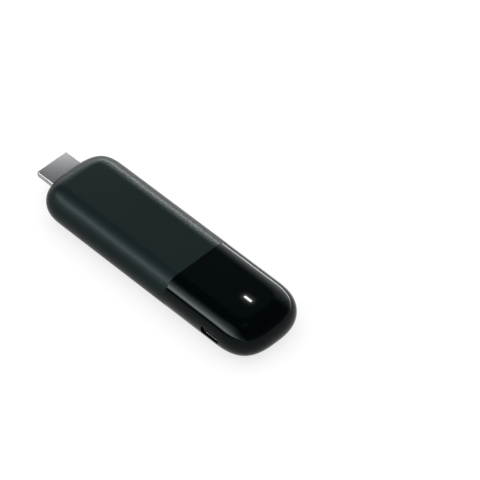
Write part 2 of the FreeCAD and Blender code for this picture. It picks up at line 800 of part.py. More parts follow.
def make_chassis():
    body = new_body("chassis")
    inner = board_side - s.ledge_width
    window_rear = board_rear - s.bar_width
    ledge = [(rectangle, chassis_front, chassis_rear, -chassis_side, chassis_side),
             (rectangle, chassis_front + s.bar_width, window_rear, -inner, inner)]
    prism(body, "ledge", "XY", ledge_bottom, board_bottom, ledge)
    bay = board_side + s.board_gap
    wall = [(polygon, [(chassis_front, -chassis_side), (chassis_rear, -chassis_side),
                       (chassis_rear, chassis_side), (chassis_front, chassis_side), (chassis_front, bay),
                       (board_rear + s.board_gap, bay), (board_rear + s.board_gap, -bay),
                       (chassis_front, -bay)])]
    prism(body, "rails", "XY", board_bottom, board_top + s.rail_rise, wall)
    key_end = lip_front - s.snap_gap
    key_side = side_wall - s.key_reach
    keys = [(rectangle, chassis_side - s.rail_wall / 2, key_side, key_bottom, key_top),
            (rectangle, -key_side, s.rail_wall / 2 - chassis_side, key_bottom, key_top)]
    prism(body, "keys", "YZ", front + s.front_run, key_end, keys)
    places = [(x, y) for x in screw_places for y in (-screw_side, screw_side)]
    bosses = [(circle, x, y, s.boss_diameter / 2) for x, y in places]
    prism(body, "bosses", "XY", board_bottom - s.boss_height, board_bottom, bosses)
    pilots = [(circle, x, y, s.screw_diameter / 2 + s.screw_gap) for x, y in places]
    prism(body, "pilot_holes", "XY", board_bottom - s.boss_height, board_bottom, pilots, cut=True)
    half = s.socket_width / 2 + s.socket_tab_reach + s.board_gap
    gap = [(rectangle, socket_middle - half, socket_middle + half, -chassis_side - s.wall, -inner)]
    prism(body, "socket_gap", "XY", ledge_bottom, board_top + s.rail_rise, gap, cut=True)


def make_board_screws():
    body = new_body("board_screws", many=True)
    places = [(x, y) for x in screw_places for y in (-screw_side, screw_side)]
    seat = upper_plate_top - s.head_height
    shank = [(circle, x, y, s.screw_diameter / 2) for x, y in places]
    prism(body, "shanks", "XY", board_bottom - s.screw_depth, seat, shank)
    heads = [(circle, x, y, s.head_diameter / 2) for x, y in places]
    head = prism(body, "heads", "XY", seat, upper_plate_top, heads)
    rims = edges_of(head, lambda edge: edge.BoundBox.ZMin > upper_plate_top.value - 1e-4)
    dress(body, "Chamfer", "head_bevels", head, rims, s.head_bevel)
    half, reach = s.cross_width / 2, s.cross_length / 2
    for name, dx, dy in (("along", reach, half), ("across", half, reach)):
        slots = [(rectangle, x - dx, x + dx, y - dy, y + dy) for x, y in places]
        bottom = upper_plate_top - s.cross_depth
        prism(body, f"cross_{name}", "XY", bottom, upper_plate_top, slots, cut=True)


def make_shield(name, near, can_edge, outside, way):
    """A soldered frame and the lid pressed over it, above the board or below it."""
    frame = new_body(f"shield_frame_{name}")
    x0, x1, y = shield_front, shield_rear, shield_side
    t = s.shield_sheet
    inner = (rectangle, x0 + t, x1 - t, t - y, y - t)
    low, high = (near, can_edge) if way > 0 else (can_edge, near)
    prism(frame, "walls", "XY", low, high, [(rectangle, x0, x1, -y, y), inner])
    rim = t + s.shield_rim
    window = (rectangle, x0 + rim, x1 - rim, rim - y, y - rim)
    low, high = (can_edge - t, can_edge) if way > 0 else (can_edge, can_edge + t)
    prism(frame, "rim", "XY", low, high, [(rectangle, x0, x1, -y, y), window])
    lid = new_body(f"shield_lid_{name}")
    grow = t + s.shield_fit
    low, high = (can_edge, outside) if way > 0 else (outside, can_edge)
    whole = (rectangle, x0 - grow, x1 + grow, -y - grow, y + grow)
    prism(lid, "cover", "XY", low, high, [whole])
    fit = s.shield_fit
    low, high = (can_edge - s.shield_skirt, can_edge) if way > 0 else (can_edge, can_edge + s.shield_skirt)
    hollow = (rectangle, x0 - fit, x1 + fit, -y - fit, y + fit)
    prism(lid, "skirt", "XY", low, high, [whole, hollow])


def make_heat_spreader_upper():
    body = new_body("heat_spreader_upper")
    x0, x1 = screw_places[0] - s.plate_end, screw_places[1] + s.plate_end
    y = screw_side + s.post_diameter / 2 + s.post_margin
    plate = [(rounded, x0, x1, -y, y, s.plate_corner)]
    prism(body, "plate", "XY", upper_plate_bottom, upper_plate_top, plate)
    places = [(x, y) for x in screw_places for y in (-screw_side, screw_side)]
    posts = [(circle, x, y, s.post_diameter / 2) for x, y in places]
    prism(body, "posts", "XY", board_top, upper_plate_bottom, posts)
    holes = [(circle, x, y, s.screw_diameter / 2 + s.screw_gap) for x, y in places]
    prism(body, "screw_holes", "XY", board_top, upper_plate_top, holes, cut=True)
    seats = [(circle, x, y, s.head_diameter / 2 + s.screw_gap) for x, y in places]
    prism(body, "head_seats", "XY", upper_plate_top - s.head_height, upper_plate_top, seats, cut=True)
    flute_start = screw_places[0] + s.plate_end
    flute_end = screw_places[1] - s.plate_end
    first = s.flute_pitch * (1 - FLUTES) / 2
    half = s.flute_width / 2
    outline = [(rectangle, flute_start, flute_end, first - half, first + half)]
    flute = prism(body, "flute", "XY", upper_plate_top - s.flute_depth, upper_plate_top, outline, cut=True)
    row_of(body, "flutes", flute, "Y", s.flute_pitch, FLUTES)


def make_heat_spreader_lower():
    body = new_body("heat_spreader_lower")
    x0, x1 = shield_front - s.plate_end, shield_rear + s.plate_end
    y = screw_side - s.boss_diameter / 2 - s.board_gap
    plate = [(rounded, x0, x1, -y, y, s.plate_corner)]
    prism(body, "plate", "XY", lower_plate_bottom, lower_plate_top, plate)


def make_pads():
    x0, x1, y = shield_front + s.pad_inset, shield_rear - s.pad_inset, shield_side - s.pad_inset
    keep(block("thermal_pad_upper", x0, x1, -y, y, upper_lid_top, upper_plate_bottom), "thermal_pad_upper")
    lower_side = y.at_most(screw_side - s.boss_diameter / 2 - s.board_gap)
    keep(block("thermal_pad_lower", x0, x1, -lower_side, lower_side, lower_plate_top, lower_lid_bottom),
         "thermal_pad_lower")
    chip = shield_front + s.processor_at
    half = s.processor_size / 2 - s.shield_rim
    keep(block("thermal_pad_chip", chip - half, chip + half, -half, half,
               board_top + s.processor_height, upper_can_top), "thermal_pad_chip")
    half = s.foam_width / 2
    spots = (shield_front + s.foam_end, shield_rear - s.foam_end - s.foam_length)
    upper = [block(f"foam_upper_{i}", x, x + s.foam_length, -half, half,
                   upper_plate_top, ceiling - s.foam_gap) for i, x in enumerate(spots)]
    group("foam_pads_upper", upper)
    lower = [block(f"foam_lower_{i}", x, x + s.foam_length, -half, half,
                   s.wall + s.foam_gap, lower_plate_bottom) for i, x in enumerate(spots)]
    group("foam_pads_lower", lower)


def make_board_parts():
    top, under = board_top, board_bottom
    size = s.processor_size
    keep(centred_block("processor", shield_front + s.processor_at, CENTRE, size, size,
                       top, top + s.processor_height), "processor")
    memory_middle = shield_front + s.memory_at
    memory_side = (s.memory_width + s.memory_gap) / 2
    memory = [centred_block(f"memory_{i}", memory_middle, y, s.memory_length, s.memory_width,
                            top, top + s.memory_height)
              for i, y in enumerate((-memory_side, memory_side))]
    group("memory_chips", memory)
    keep(centred_block("storage_chip", shield_front + s.storage_at, CENTRE, s.storage_length,
                       s.storage_width, under - s.storage_height, under), "storage_chip")
    power_middle = shield_front + s.power_at
    keep(centred_block("power_chip", power_middle, CENTRE, s.power_size, s.power_size,
                       under - s.power_height, under), "power_chip")
    aside = s.power_size / 2 + s.coil_gap + s.coil_size / 2
    coils = [centred_block(f"coil_{i}", power_middle, y, s.coil_size, s.coil_size,
                           under - s.coil_height, under)
             for i, y in enumerate((-aside, aside))]
    group("power_coils", coils)
    radio_middle = radio_front + s.radio_length / 2
    base = centred_block("radio_base", radio_middle, CENTRE, s.radio_length, s.radio_width,
                         top, top + s.radio_base)
    can = centred_block("radio_can", radio_middle, CENTRE, s.radio_length - s.radio_step * 2,
                        s.radio_width - s.radio_step * 2, top + s.radio_base, top + s.radio_height)
    joined("radio_module", [base, can])
    crystal = radio_front + s.radio_length + s.coil_gap + s.crystal_length / 2
    keep(centred_block("crystal", crystal, CENTRE, s.crystal_length, s.crystal_width,
                       top, top + s.crystal_height), "crystal")
    guard_middle = board_shoulder + s.guard_gap + s.guard_size / 2
    first = s.guard_pitch * (1 - GUARDS) / 2
    guards = [centred_block(f"guard_{i}", guard_middle, first + s.guard_pitch * i, s.guard_size,
                            s.guard_size, top, top + s.guard_height)
              for i in range(GUARDS)]
    group("surge_guards", guards)
    loose = []
    first = radio_front + s.chip_length
    loose_side = s.radio_width / 2 + s.chip_gap + s.chip_width / 2
    for i in range(LOOSE_CHIPS):
        column, side = divmod(i, 2)
        x = first + s.chip_pitch * column
        y = loose_side if side else -loose_side
        loose.append(centred_block(f"loose_{i}", x, y, s.chip_length, s.chip_width,
                                   top, top + s.chip_height))
    group("capacitors", loose)
    keep(centred_block("status_lamp", light_middle, CENTRE, s.lamp_length, s.lamp_width,
                       top, top + s.lamp_height), "status_lamp")


def make_antenna(name, side):
    """A bent strip on two legs, along one edge of the board."""
    body = new_body(name)
    x1 = tip - s.antenna_back
    x0 = x1 - s.antenna_length
    arm_top = board_top + s.antenna_height
    arm_low = arm_top - s.antenna_sheet
    feed_front = x0 + s.antenna_feed
    feed_rear = feed_front + s.antenna_leg
    end_front = x1 - s.antenna_leg
    line = [(x0, arm_low), (feed_front, arm_low), (feed_front, board_top), (feed_rear, board_top),
            (feed_rear, arm_low), (end_front, arm_low), (end_front, board_top), (x1, board_top),
            (x1, arm_top), (x0, arm_top)]
    outer = board_side - s.antenna_inset
    inner = outer - s.antenna_width
    low, high = (inner, outer) if side > 0 else (-outer, -inner)
    prism(body, "strip", "XZ", low, high, [(polygon, line)])


def socket_outline(sketch, inset):
    """The power socket's section: upright sides over slopes to a narrower underside."""
    inset = length(inset)
    top = socket_level + s.socket_height / 2 - inset
    low = socket_level - s.socket_height / 2 + inset
    wide = s.socket_width / 2
    run = wide - s.socket_flat / 2
    fall = s.socket_height - s.socket_side
    slant = (run * run + fall * fall).root()
    bend = socket_level + s.socket_height / 2 - s.socket_side + inset * (slant - fall) / run
    narrow = s.socket_flat / 2 - inset * (slant - run) / fall
    right = [(narrow, low), (wide - inset, bend), (wide - inset, top)]
    corners = [(socket_middle + x, z) for x, z in right]
    corners += [(socket_middle - x, z) for x, z in reversed(right)]
    polygon(sketch, corners)


def make_power_socket():
    back = socket_mouth + s.socket_depth
    shell = new_body("socket_shell")
    prism(shell, "tube", "XZ", socket_mouth, back, [(socket_outline, CENTRE)])
    prism(shell, "bore", "XZ", socket_mouth, back, [(socket_outline, s.socket_sheet)], cut=True)
    half = s.socket_width / 2
    near = socket_mouth + s.socket_tab_back
    tabs = [(rectangle, socket_middle + half - s.socket_sheet, socket_middle + half + s.socket_tab_reach,
             near, near + s.socket_tab),
            (rectangle, socket_middle - half - s.socket_tab_reach, socket_middle - half + s.socket_sheet,
             near, near + s.socket_tab)]
    prism(shell, "tabs", "XY", board_top, board_top + s.socket_sheet, tabs)
    tongue = new_body("socket_tongue")
    inset = s.socket_sheet + s.socket_fit
    prism(tongue, "block", "XZ", back - s.socket_block, back, [(socket_outline, inset)])
    half = s.tongue_width / 2
    tongue_low = socket_level + s.socket_fit
    tongue_high = tongue_low + s.tongue_height
    blade = [(rectangle, socket_middle - half, socket_middle + half, tongue_low, tongue_high)]
    prism(tongue, "blade", "XZ", socket_mouth + s.tongue_setback, back - s.socket_block, blade)
    pins = new_body("socket_pins", many=True)
    first = socket_middle + s.pin_pitch * (1 - SOCKET_PINS) / 2
    half = s.pin_width / 2
    strip = [(rectangle, first - half, first + half, tongue_low - s.pin_height, tongue_low)]
    pin_start = socket_mouth + s.tongue_setback + s.pin_width
    row = prism(pins, "strip", "XZ", pin_start, back - s.socket_block, strip)
    row_of(pins, "strips", row, "X", s.pin_pitch, SOCKET_PINS)


make_sleeve()
make_end_cap()
make_light_guide()
make_plug_shell()
make_plug_insulator()
make_plug_contacts("plug_contacts_upper", UPPER_CONTACTS, 1)
make_plug_contacts("plug_contacts_lower", LOWER_CONTACTS, -1)
make_main_board()
make_chassis()
make_board_screws()
make_shield("upper", board_top, upper_can_top, upper_lid_top, 1)
make_shield("lower", board_bottom, lower_can_bottom, lower_lid_bottom, -1)
make_heat_spreader_upper()
make_heat_spreader_lower()
make_pads()
make_board_parts()
make_antenna("antenna_left", 1)
make_antenna("antenna_right", -1)
make_power_socket()
doc.recompute()

for item in doc.Objects:
    if {"Invalid", "Error"} & set(item.State):
        raise RuntimeError(f"{item.Name} failed: {item.State}")
for cut in cuts:
    if cut.Shape.Volume > cut.BaseFeature.Shape.Volume - 1e-6:
        raise RuntimeError(f"{cut.Name} in {cut.getParentGeoFeatureGroup().Label} cuts nothing")
for piece in parts:
    if piece.Shape.isNull() or not piece.Shape.isValid():
        raise RuntimeError(f"{piece.Label} has no sound shape")

os.makedirs("parts", exist_ok=True)
for piece in parts:
    piece.Shape.exportStep(f"parts/{piece.Label}.step")
    print(piece.Label, len(piece.Shape.Solids), round(piece.Shape.Volume, 3))
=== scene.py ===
import json
import math

import bmesh
import bpy
import numpy as np
from mathutils import Matrix, Vector
from mathutils.bvhtree import BVHTree


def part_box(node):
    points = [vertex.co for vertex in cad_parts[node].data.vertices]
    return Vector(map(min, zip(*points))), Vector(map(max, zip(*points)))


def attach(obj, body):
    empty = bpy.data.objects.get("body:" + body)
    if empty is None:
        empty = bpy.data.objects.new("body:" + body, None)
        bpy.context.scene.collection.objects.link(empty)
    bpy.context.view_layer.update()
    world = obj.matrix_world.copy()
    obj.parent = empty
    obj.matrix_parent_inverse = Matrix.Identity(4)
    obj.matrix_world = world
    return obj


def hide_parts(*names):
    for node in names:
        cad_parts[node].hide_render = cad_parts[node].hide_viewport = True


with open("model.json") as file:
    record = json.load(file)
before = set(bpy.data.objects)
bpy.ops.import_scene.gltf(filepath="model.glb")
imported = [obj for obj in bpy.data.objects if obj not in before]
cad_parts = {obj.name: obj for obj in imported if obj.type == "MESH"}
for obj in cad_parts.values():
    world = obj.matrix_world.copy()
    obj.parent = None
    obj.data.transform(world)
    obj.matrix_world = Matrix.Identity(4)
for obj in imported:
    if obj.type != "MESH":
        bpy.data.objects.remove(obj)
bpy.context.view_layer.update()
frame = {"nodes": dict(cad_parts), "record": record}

# A streaming media stick. Sizes are in millimetres, and become metres where something is made from them.
MM = 0.001


def box_mm(node):
    """A node's lowest and highest corner in millimetres."""
    low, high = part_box(node)
    return np.array(low) / MM, np.array(high) / MM


sleeve_low, sleeve_high = box_mm("sleeve")
cap_low, cap_high = box_mm("end_cap")
plug_low, plug_high = box_mm("plug_shell")
socket_low, socket_high = box_mm("socket_shell")
guide_low, guide_high = box_mm("light_guide")

# Housing
FRONT = sleeve_low[0]
SEAM = sleeve_high[0]
TIP = cap_high[0]
LIP_FRONT = cap_low[0]
HALF_WIDTH = sleeve_high[1]
HEIGHT = sleeve_high[2]
MIDDLE = HEIGHT / 2
WALL = 1.4
EDGE_REACH = 8.0
EDGE_POWER = 2.077
FRONT_REACH = 13.14
FRONT_POWER = 2.95
TIP_REACH = 15.82
TIP_POWER = 2.68
SEAM_ROUND = 0.12
LIP_GAP = 0.1
LIP_THICKNESS = 0.9
LIP_ROOT = 2.4
LIP_BEVEL = 0.2

# Plug, and the opening for it in the sleeve
PLUG_SIDE = 2.4
PLUG_SHOULDER = 1.0
PLUG_FLAT = 9.85
PLUG_SHEET = 0.35
PLUG_CORNER = 0.28
PLUG_INNER_CORNER = 0.15
PLUG_LEAD = 0.2
PLUG_LEAD_RUN = 0.4
PLUG_LIP = 0.06
PLUG_GAP = 0.2
OPENING_PAST = 2.8
OPENING_ROUND = 0.15
LATCH_SIZE = 1.9
LATCH_SPREAD = 2.7
LATCH_BACK = 5.7
LATCH_CORNER = 0.2
LATCH_PAST = 0.65

# Seam in the plug's narrow face
SEAM_WIDTH = 0.05
SEAM_DEPTH = 0.12
DOVETAIL_FRONT = 2.6
DOVETAIL_LENGTH = 1.8
DOVETAIL_REACH = 0.55
DOVETAIL_LEAN = 0.25

# Power port
PORT_X = (socket_low[0] + socket_high[0]) / 2
PORT_Z = (socket_low[2] + socket_high[2]) / 2
PORT_WIDTH = 8.2
PORT_HEIGHT = 3.3
PORT_CORNER = 0.9
PORT_PAST = 0.3
PORT_ROUND = 0.2

# Light
LIGHT_X = (guide_low[0] + guide_high[0]) / 2
SLOT_LENGTH = 3.7
SLOT_WIDTH = 1.0
SLOT_PAST = 0.5
SLOT_ROUND = 0.1
SLOT_FIT = 0.05
HEAD_ROUND = 0.12
FLANGE_HEIGHT = 0.8
COLUMN_LENGTH = 2.2
COLUMN_WIDTH = 1.2
COLUMN_CORNER = 0.2
FOOT_LENGTH = 1.6
FOOT_WIDTH = 0.8

# Glow of the light, as (distance from the slot's middle line, strength), and the reach and strength of a
# painted glow that the cap itself gives off round the slot
CORE_GLOW = [(0.0, 1.15), (0.22, 1.1), (0.34, 0.5), (0.5, 0.14)]
PAINTED_GLOW_REACH = 0.45
PAINTED_GLOW_STRENGTH = 0.1

# Small rounds on the edges of pieces that come as they are
EDGE_ROUNDS = {"socket_shell": 0.06, "socket_tongue": 0.08, "plug_insulator": 0.12,
               "plug_contacts_upper": 0.04, "plug_contacts_lower": 0.04, "socket_pins": 0.03}
EDGE_SEGMENTS = 3

# How far apart the rows of points on curves are, in degrees
TURN_STEP = 2.0
EDGE_STEP = 3.0
CORNER_STEP = 15.0
SEAM_STEP = 22.5
LIP_STEP = 30.0
RIM_STEP = 13.0

# Cutters: how far outside the skin they start, how far the seam's passes the plug, and a rim's turn in
# degrees. Each hole's own value with PAST in its name says how far its cutter goes past the wall.
CUTTER_START = 2.0
CUTTER_PAST = 1.0
RIM_TURN = 78.0

# Lean of the sleeve's shading normals in degrees: the most, and where on the edge it starts, is full and ends
SLEEVE_SOFTNESS = 8.0
SOFT_START = 33.0
SOFT_FULL = 52.0
SOFT_END = 82.0

# A face whose stored normal is none, or shorter than the shortest, keeps its own
NO_NORMAL = (0, 0, 0)
SHORTEST_NORMAL = 0.5

# Points this near to each other, in metres, are one
MERGE_DISTANCE = 1e-7

# Cool cast of the light that dark plastic mirrors
TINT = (0.82, 1.0, 1.03)
WHITE = (1, 1, 1, 1)

# The range that noise stays in, apart from its extremes
NOISE_LOW = 0.3
NOISE_HIGH = 0.7

# How much the roughness of metal and of mouldings varies, as a share, and its patches on mouldings in grains
METAL_SPREAD = 0.12
MOULD_SPREAD = 0.08
MOULD_PATCH = 8

# Camera: its direction and roll in degrees, and its place from the middle of the housing's front
CAMERA_AZIMUTH = 48.6786
CAMERA_ELEVATION = 47.2245
CAMERA_ROLL = -3.1232
CAMERA_ASIDE = 60.1225
CAMERA_BELOW = 22.1320
CAMERA_AWAY = 1325.158
CAMERA_SENSOR = 36.0
CAMERA_LENS = 284.2865
CAMERA_NEAREST = 50.0
CAMERA_FURTHEST = 200000.0

# Floor
FLOOR_REACH = 40000.0
FLOOR_DROP = 0.05
FLOOR_GLOW = 0.76
FLOOR_COLOUR = 0.26

# Soft boxes: their azimuth, their strength, and the share of it at angles in degrees upward and sideways.
# A direction that leans towards a box by less than LEAST_DEPTH doesn't meet it.
NEAR_FACING = -118
NEAR_STRENGTH = 17.5
NEAR_HEIGHTS = [(17.5, 0), (22.2, 0.85), (25.8, 1), (31, 0.66), (41, 0.27), (53, 0.1), (66, 0)]
NEAR_SIDES = [(-42, 0), (-30, 0.4), (-16, 1), (6, 1), (26, 0.7), (42, 0.4), (58, 0.15), (78, 0)]
FAR_FACING = 112
FAR_STRENGTH = 18.5
FAR_HEIGHTS = [(-30, 1.2), (0.5, 1.2), (3, 0.75), (6, 0.38), (9, 0.2), (18, 0.17), (27, 0.12), (40, 0.065),
               (55, 0)]
FAR_SIDES = [(-55, 0), (-35, 0.4), (-15, 0.95), (8, 1), (14, 0.95), (25, 0.55), (40, 0.4), (60, 0)]
LEAST_DEPTH = 0.02

# Strength of the sky at heights in degrees
SKY = [(0, 1), (4.5, 1), (9, 0.25), (30, 0.12), (45, 0.04), (81, 0.04), (84, 0.35), (90, 0.35)]

# Lamps
TOP_LIGHT_STRENGTH = 3.3
TOP_LIGHT_SPREAD = 110
FRONT_LAMP_PLACE = (-91, 42, 46)
FRONT_LAMP_AIM = (-55, 2, 9)
FRONT_LAMP_SIZE = (34, 48)
FRONT_LAMP_STRENGTH = 2.4
FRONT_LAMP_FADE = [(0.0, 1.0), (0.55, 1.0), (0.73, 0.6), (0.84, 0.18), (1.0, 0.0)]


def superellipse(angle, reach, half, power):
    """The point of a superellipse where its outward normal has this angle."""
    across, along = abs(math.cos(angle)), abs(math.sin(angle))
    bend = power / (power - 1)
    total = (reach * across) ** bend + (half * along) ** bend
    x = reach * (reach * across) ** (1 / (power - 1)) / total ** (1 / power)
    y = half * (half * along) ** (1 / (power - 1)) / total ** (1 / power)
    return math.copysign(x, math.cos(angle)), math.copysign(y, math.sin(angle))


def angles(first, last, step):
    """Evenly spaced angles in radians, from degrees."""
    count = max(1, round(abs(last - first) / step))
    return [math.radians(first + (last - first) * i / count) for i in range(count + 1)]


def unit(way):
    """A way of length one."""
    return way / np.linalg.norm(way)


def left_of(way):
    """The way square to a plane way, to its left."""
    return np.array([-way[1], way[0]])


def rounded_outline(corners, radii):
    """Points and outward normals of a closed outline, counter-clockwise, with its corners rounded."""
    rows = []
    for i, radius in enumerate(radii):
        before, here, after = (np.array(corners[k % len(corners)], float) for k in (i - 1, i, i + 1))
        coming, going = unit(here - before), unit(after - here)
        turn = math.atan2(coming[0] * going[1] - coming[1] * going[0], coming @ going)
        side = math.copysign(1, turn)
        reach = radius * math.tan(abs(turn) / 2)
        centre = here - coming * reach + left_of(coming) * side * radius
        first = math.atan2(-coming[0] * side, coming[1] * side)
        stops = max(1, round(abs(math.degrees(turn)) / CORNER_STEP))
        for k in range(stops + 1):
            angle = first + turn * k / stops
            spoke = np.array([math.cos(angle), math.sin(angle)])
            rows.append((*(centre + spoke * radius), *(spoke * side)))
    return rows


def rectangle(x, y, width, height, corner):
    """The outline of a rectangle about a middle point, with its corners rounded."""
    half_width, half_height = width / 2, height / 2
    corners = [(x - half_width, y - half_height), (x + half_width, y - half_height),
               (x + half_width, y + half_height), (x - half_width, y + half_height)]
    return rounded_outline(corners, [corner] * len(corners))


def band(path, width):
    """The outline of a band of this width along a path, with mitred corners."""
    points = [np.array(point, float) for point in path]
    ways = [unit(after - before) for before, after in zip(points, points[1:])]
    half = width / 2
    lower, upper = [], []
    for point, coming, going in zip(points, [ways[0], *ways], [*ways, ways[-1]]):
        first, second = left_of(coming), left_of(going)
        offset = (first + second) / (1 + first @ second) * half
        upper.append(tuple(point + offset))
        lower.append(tuple(point - offset))
    return lower + upper[::-1]


class Surface:
    """Points, faces and the true normal at each corner of each face."""

    def __init__(self):
        self.points = []
        self.faces = []
        self.normals = []

    def row(self, points):
        """Adds points, and gives their numbers."""
        start = len(self.points)
        self.points.extend(points)
        return list(range(start, len(self.points)))

    def face(self, corners, normals):
        """One face, with a normal for each corner."""
        self.faces.append(corners)
        self.normals.append(normals)

    def strip(self, first, second, first_normals, second_normals, closed):
        """Four-sided faces between two rows."""
        count = len(first)
        for a in range(count if closed else count - 1):
            b = (a + 1) % count
            corners = [first[a], first[b], second[b], second[a]]
            self.face(corners, [first_normals[a], first_normals[b], second_normals[b], second_normals[a]])

    def flat(self, row, normal):
        """A flat face that fills a row."""
        self.face(list(row), [normal] * len(row))

    def sweep(self, rings):
        """Strips through closed rings of (points, normals before, normals after)."""
        rows = [self.row(points) for points, _, _ in rings]
        for i in range(len(rings) - 1):
            self.strip(rows[i], rows[i + 1], rings[i][2], rings[i + 1][1], True)
        return rows

    def build(self, name):
        """The object, with its faces turned outward and the normals kept beside its corners."""
        mesh = bpy.data.meshes.new(name)
        mesh.from_pydata([Vector(p) * MM for p in self.points], [], self.faces)
        normals = mesh.attributes.new("true_normal", "FLOAT_VECTOR", "CORNER")
        flat = [value for face in self.normals for normal in face for value in normal]
        normals.data.foreach_set("vector", flat)
        work = bmesh.new()
        work.from_mesh(mesh)
        bmesh.ops.remove_doubles(work, verts=work.verts, dist=MERGE_DISTANCE)
        bmesh.ops.recalc_face_normals(work, faces=work.faces)
        work.to_mesh(mesh)
        work.free()
        made = bpy.data.objects.new(name, mesh)
        bpy.context.scene.collection.objects.link(made)
        return made


def settle_normals(piece):
    """Sets each corner's shading normal from the normal stored beside it."""
    mesh = piece.data
    stored = np.zeros(len(mesh.loops) * 3, np.float32)
    mesh.attributes["true_normal"].data.foreach_get("vector", stored)
    stored = stored.reshape(-1, 3)
    for face in mesh.polygons:
        face.use_smooth = True
        own = np.array(face.normal)
        for corner in face.loop_indices:
            if np.dot(stored[corner], own) < 0:
                stored[corner] = -stored[corner]
            if np.linalg.norm(stored[corner]) < SHORTEST_NORMAL:
                stored[corner] = own
    stored /= np.linalg.norm(stored, axis=1)[:, None]
    mesh.normals_split_custom_set(stored.tolist())
    mesh.attributes.remove(mesh.attributes["true_normal"])


def cut(piece, cutter):
    """Takes the cutter's space out of the piece."""
    step = piece.modifiers.new("cut", "BOOLEAN")
    step.operation = "DIFFERENCE"
    step.solver = "MANIFOLD"
    step.object = cutter
    bpy.context.view_layer.update()
    shaped = piece.evaluated_get(bpy.context.evaluated_depsgraph_get())
    mesh = bpy.data.meshes.new_from_object(shaped)
    piece.modifiers.clear()
    piece.data = mesh
    bpy.data.objects.remove(cutter)


def surface_finder(piece):
    """A function that gives how far a ray runs to the piece."""
    tree = BVHTree.FromObject(piece, bpy.context.evaluated_depsgraph_get())

    def find(start, way):
        hit = tree.ray_cast(Vector(start) * MM, Vector(way))
        return (hit[0] - Vector(start) * MM).length / MM if hit[0] else 0.0

    return find


def hole_cutter(name, piece, outline, place, inward, depth, rounding):
    """A cutter for a hole whose rim is rounded against the piece's own curved skin.

    place turns a point of the outline into a point outside the skin, and inward is the way in from there.
    """
    find = surface_finder(piece)
    inward = np.array(inward, float)

    def ring(spread, sink, lean, fixed=None):
        """The outline spread outward, sunk below the skin or at a fixed reach, with its normals."""
        points, normals = [], []
        for a, b, na, nb in outline:
            base = np.array(place(a + na * spread, b + nb * spread))
            reach = fixed if fixed is not None else find(base, inward) + sink
            out = np.array(place(na, nb)) - np.array(place(0, 0))
            points.append(tuple(base + inward * reach))
            normals.append(tuple(-out * math.cos(lean) - inward * math.sin(lean)))
        return points, normals, normals

    rim = [(rounding * (1 - math.cos(angle)), rounding * (1 - math.sin(angle)), angle)
           for angle in angles(0, RIM_TURN, RIM_STEP)]
    rings = [ring(0.0, 0.0, 0.0, fixed=CUTTER_START + depth)]
    for step in rim:
        rings.append(ring(*step))
    spread, sink, angle = rim[-1]
    rings.append(ring(spread + rounding, sink - rounding / math.tan(angle), angle))
    rings.append(ring(spread + rounding, 0.0, angle, fixed=0.0))
    surface = Surface()
    rows = surface.sweep(rings)
    surface.flat(rows[0], tuple(inward))
    surface.flat(rows[-1], tuple(-inward))
    return surface.build(name)


def end_outline(base, reach, power, way):
    """Plan points and normals of one end of the housing, way 1 for the tip and -1 for the front."""
    rows = []
    for angle in angles(-90, 90, TURN_STEP):
        x, y = superellipse(angle, reach, HALF_WIDTH, power)
        rows.append((base + way * x, y, way * math.cos(angle), math.sin(angle)))
    return rows


def edge_profile():
    """Inset, height and normal of the housing's rounded edge, from the underside to the top."""
    rows = []
    for angle in angles(-90, 90, EDGE_STEP):
        out, rise = superellipse(angle, EDGE_REACH, HEIGHT / 2, EDGE_POWER)
        rows.append((EDGE_REACH - out, MIDDLE + rise, math.cos(angle), math.sin(angle)))
    return rows


EDGE = edge_profile()


def soften(flat, up, most):
    """An edge normal leant outward by up to so many degrees, fading to none at the side and on the top."""
    angle = math.degrees(math.atan2(abs(up), flat))
    rise = min(max((angle - SOFT_START) / (SOFT_FULL - SOFT_START), 0), 1)
    fall = min(max((90 - angle) / (90 - SOFT_END), 0), 1)
    leant = math.radians(angle - most * rise * rise * (3 - 2 * rise) * fall)
    return math.cos(leant), math.copysign(math.sin(leant), up)


def housing_ring(x, depth, along, outward):
    """The housing's section at x, drawn in by depth, with normals leaning along X and outward."""
    points, normals = [], []
    for side, rows in ((-1, EDGE), (1, EDGE[::-1])):
        for inset, z, flat, up in rows:
            y = side * (HALF_WIDTH - inset - depth * flat)
            points.append((x, y, z - depth * up))
            normals.append((along, side * flat * outward, up * outward))
    return points, normals, normals


def housing_grid(surface, outline, depth, way, softness=0):
    """The housing's skin along an outline, drawn in by depth, closed with its flat top and underside."""
    rows, normals = [], []
    leans = [soften(flat, up, softness) for _, _, flat, up in EDGE]
    for x, y, nx, ny in outline:
        points = [(x - nx * (inset + depth * flat), y - ny * (inset + depth * flat), z - depth * up)
                  for inset, z, flat, up in EDGE]
        rows.append(surface.row(points))
        normals.append([(way * nx * flat, way * ny * flat, way * up) for flat, up in leans])
    for i in range(len(rows) - 1):
        surface.strip(rows[i], rows[i + 1], normals[i], normals[i + 1], False)
    surface.flat([row[-1] for row in rows], (0, 0, way))
    surface.flat([row[0] for row in rows], (0, 0, -way))


